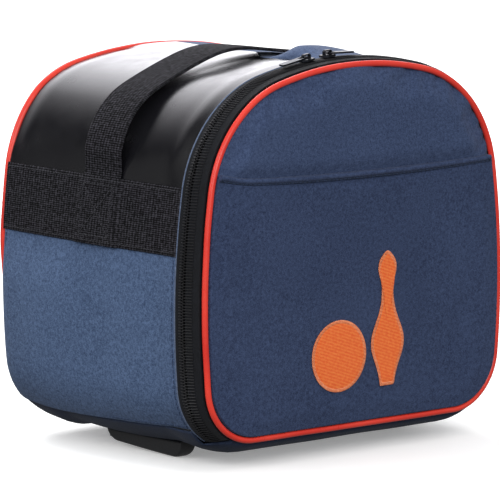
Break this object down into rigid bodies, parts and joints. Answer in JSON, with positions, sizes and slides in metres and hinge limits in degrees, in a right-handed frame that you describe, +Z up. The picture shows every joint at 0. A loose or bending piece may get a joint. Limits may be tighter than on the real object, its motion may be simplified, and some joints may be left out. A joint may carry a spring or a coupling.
{
  "type": "bowling ball bag",
  "caption": "Padded bag for a bowling ball with a domed top, a zipped front panel that folds down, a carrying strap, foot rails and an inner ball cup.",
  "frame": {"origin": "on the floor below the middle of the bag", "axes": "+Z up, the zipped front panel faces -Y, +X is the right side seen from the front"},
  "size_m": [0.3364, 0.2562, 0.3236],
  "materials": {
    "navy_fabric": "woven polyester, matte",
    "blue_fabric": "woven polyester, matte",
    "red_piping": "soft PVC, satin",
    "black_webbing": "ribbed webbing, matte",
    "black_vinyl": "coated cloth, glossy",
    "grey_foam": "closed-cell foam, matte",
    "black_lining": "thin woven lining, matte",
    "black_board": "stiff sheet, matte",
    "black_plastic": "moulded, matte",
    "zip_nylon": "nylon tape and teeth",
    "gunmetal": "dark plated, shiny",
    "zinc_steel": "zinc plated",
    "orange_thread": "sewn motif, satin"
  },
  "bodies": {
    "shell": {"back_foam": "grey_foam", "back_lining": "black_lining", "back_panel": "navy_fabric", "back_piping": "red_piping", "ball_cup": "grey_foam", "base_board": "black_board", "base_foam": "grey_foam", "base_panel": "blue_fabric", "crown_fabric_panel": "blue_fabric", "crown_vinyl_panel": "black_vinyl", "foot_rail_left": "black_plastic", "foot_rail_right": "black_plastic", "rail_bolt_left_front": "zinc_steel", "rail_bolt_left_rear": "zinc_steel", "rail_bolt_right_front": "zinc_steel", "rail_bolt_right_rear": "zinc_steel", "rail_washer_left_front": "zinc_steel", "rail_washer_left_rear": "zinc_steel", "rail_washer_right_front": "zinc_steel", "rail_washer_right_rear": "zinc_steel", "side_panel_left": "blue_fabric", "side_panel_right": "blue_fabric", "strap_tail_left": "black_webbing", "strap_tail_right": "black_webbing", "wall_foam": "grey_foam", "wall_lining": "black_lining", "webbing_band_left": "black_webbing", "webbing_band_right": "black_webbing", "zip_tape_shell": "zip_nylon", "zip_teeth_shell": "zip_nylon"},
    "door": {"front_panel": "navy_fabric", "front_foam": "grey_foam", "front_lining": "black_lining", "front_piping": "red_piping", "pocket_panel": "navy_fabric", "emblem_pin": "orange_thread", "emblem_ball": "orange_thread", "zip_tape_door": "zip_nylon", "zip_teeth_door": "zip_nylon"},
    "handle": {"handle_strap": "black_webbing"},
    "slider_left": {"zip_slider_left": "gunmetal"},
    "slider_right": {"zip_slider_right": "gunmetal"},
    "pull_left": {"zip_pull_left": "gunmetal"},
    "pull_right": {"zip_pull_right": "gunmetal"}
  },
  "joints": [
    {"name": "door_hinge", "type": "hinge", "parent": "shell", "child": "door", "pos_m": [0, -0.1228, 0.0225], "axis": [1, 0, 0], "range_deg": [0, 90]},
    {"name": "handle_lift", "type": "slide", "parent": "shell", "child": "handle", "axis": [0, 0, 1], "range_m": [0, 0.015]},
    {"name": "slider_left_travel", "type": "hinge", "parent": "shell", "child": "slider_left", "pos_m": [0, -0.1043, -0.0074], "axis": [0, 1, 0], "range_deg": [-6.5, 0]},
    {"name": "slider_right_travel", "type": "hinge", "parent": "shell", "child": "slider_right", "pos_m": [0, -0.1043, -0.0074], "axis": [0, 1, 0], "range_deg": [0, 14.5]},
    {"name": "pull_left_flip", "type": "hinge", "parent": "slider_left", "child": "pull_left", "pos_m": [-0.03468, -0.1043, 0.31924], "axis": [0, 1, 0], "range_deg": [0, 90]},
    {"name": "pull_right_flip", "type": "hinge", "parent": "slider_right", "child": "pull_right", "pos_m": [-0.01224, -0.1043, 0.32085], "axis": [0, -1, 0], "range_deg": [0, 90]}
  ]
}
